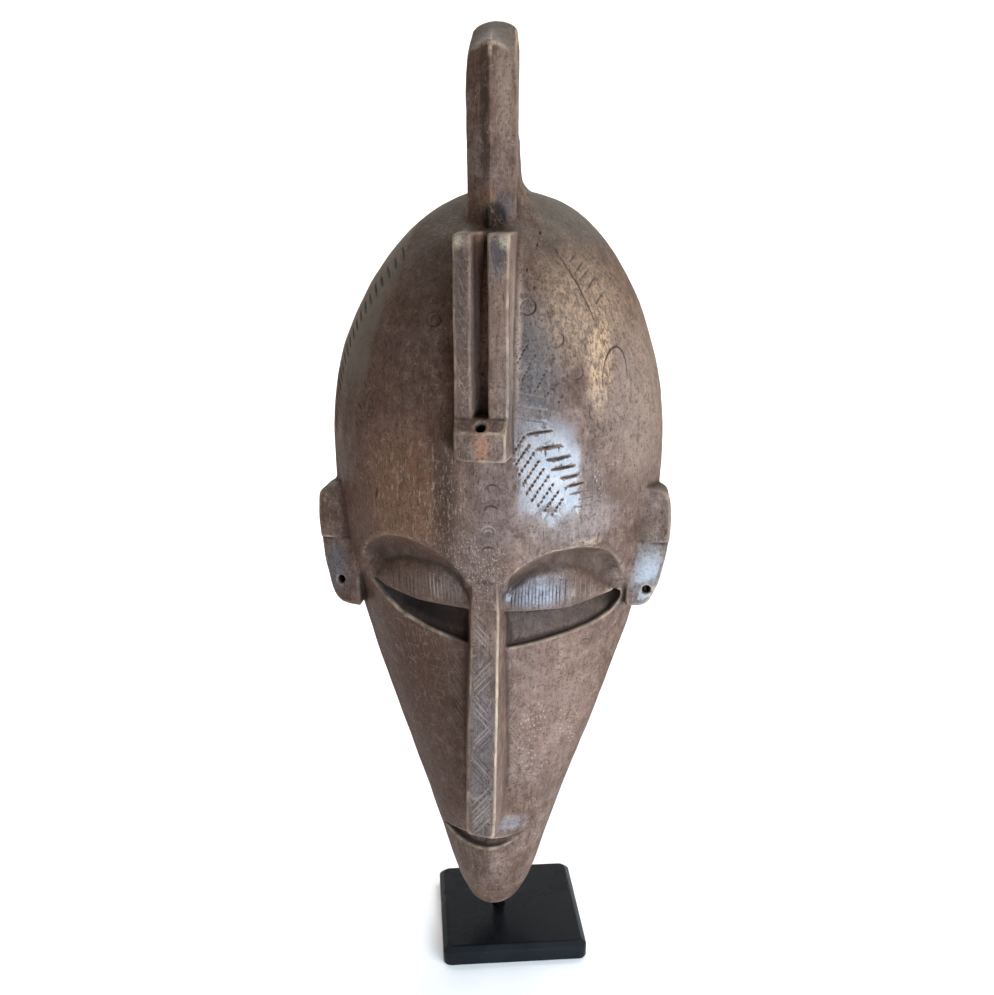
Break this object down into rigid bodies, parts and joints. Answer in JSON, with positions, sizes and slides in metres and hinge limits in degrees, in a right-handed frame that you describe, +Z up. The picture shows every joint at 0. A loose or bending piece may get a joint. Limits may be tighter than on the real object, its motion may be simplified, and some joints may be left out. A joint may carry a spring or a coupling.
{
  "type": "african mask",
  "caption": "Carved wooden face mask with a domed head, slotted crest post and tall fin, open behind, held upright by a rod on a square base.",
  "frame": {"origin": "on the table, on the underside of the base, straight below the rod's axis", "axes": "+Z up along the mask's height, the face looks along -Y, +X to the right of someone looking at the face"},
  "size_m": [0.22, 0.1705, 0.611],
  "materials": {
    "carved_wood": "dark hand-rubbed patina over carved wood, satin, with pale worn edges",
    "black_steel": "smooth black gloss"
  },
  "bodies": {
    "root": {"mask": "carved_wood", "stand_rod": "black_steel", "stand_base": "black_steel"}
  },
  "joints": []
}
